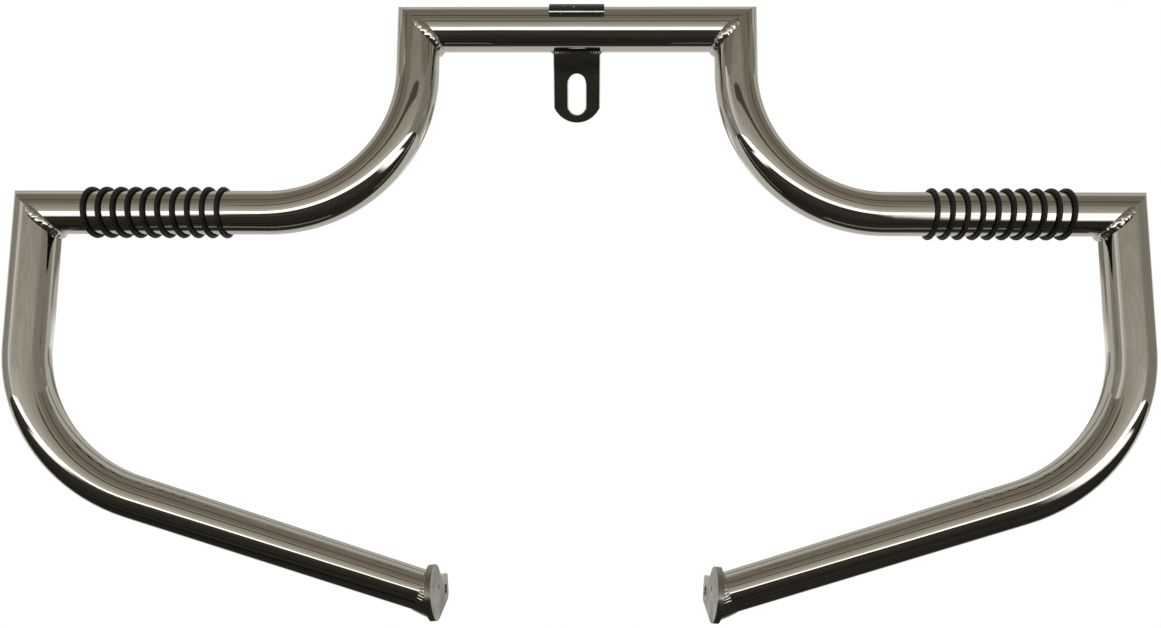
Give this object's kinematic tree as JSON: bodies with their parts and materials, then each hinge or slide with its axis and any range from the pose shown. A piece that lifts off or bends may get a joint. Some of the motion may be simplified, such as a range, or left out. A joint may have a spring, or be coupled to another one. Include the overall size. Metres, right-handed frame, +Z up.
{
  "type": "motorcycle crash bars",
  "caption": "Chromed tubular steel engine guard with bent and mitred tubes, a slotted centre tab, bolt plates on the lower ends and rubber foot rest rings.",
  "frame": {"origin": "middle of the centre tab's slot, on the tab's rear face, where the bars bolt to the motorcycle frame", "axes": "+X to the right seen from the front, along the top tube; -Y towards the front; +Z up"},
  "size_m": [0.8288, 0.1274, 0.4624],
  "materials": {
    "chrome_tube": "polished chrome plate",
    "chrome_weld": "plated weld bead",
    "chrome_plate": "plated flat steel",
    "black_plate": "black enamel with a bare metal edge",
    "black_rubber": "matte moulded rubber"
  },
  "bodies": {
    "root": {"top_cross_tube": "chrome_tube", "left_upper_tube": "chrome_tube", "left_leg_tube": "chrome_tube", "left_top_weld": "chrome_weld", "left_corner_weld": "chrome_weld", "left_plate_weld": "chrome_weld", "left_end_plate": "chrome_plate", "right_upper_tube": "chrome_tube", "right_leg_tube": "chrome_tube", "right_top_weld": "chrome_weld", "right_corner_weld": "chrome_weld", "right_plate_weld": "chrome_weld", "right_end_plate": "chrome_plate", "centre_tab": "chrome_plate", "tab_weld": "chrome_weld", "name_plate": "black_plate", "left_o_ring_01": "black_rubber", "left_o_ring_02": "black_rubber", "left_o_ring_03": "black_rubber", "left_o_ring_04": "black_rubber", "left_o_ring_05": "black_rubber", "left_o_ring_06": "black_rubber", "left_o_ring_07": "black_rubber", "left_o_ring_08": "black_rubber", "left_o_ring_09": "black_rubber", "left_o_ring_10": "black_rubber", "right_o_ring_01": "black_rubber", "right_o_ring_02": "black_rubber", "right_o_ring_03": "black_rubber", "right_o_ring_04": "black_rubber", "right_o_ring_05": "black_rubber", "right_o_ring_06": "black_rubber", "right_o_ring_07": "black_rubber", "right_o_ring_08": "black_rubber", "right_o_ring_09": "black_rubber", "right_o_ring_10": "black_rubber"}
  },
  "joints": []
}
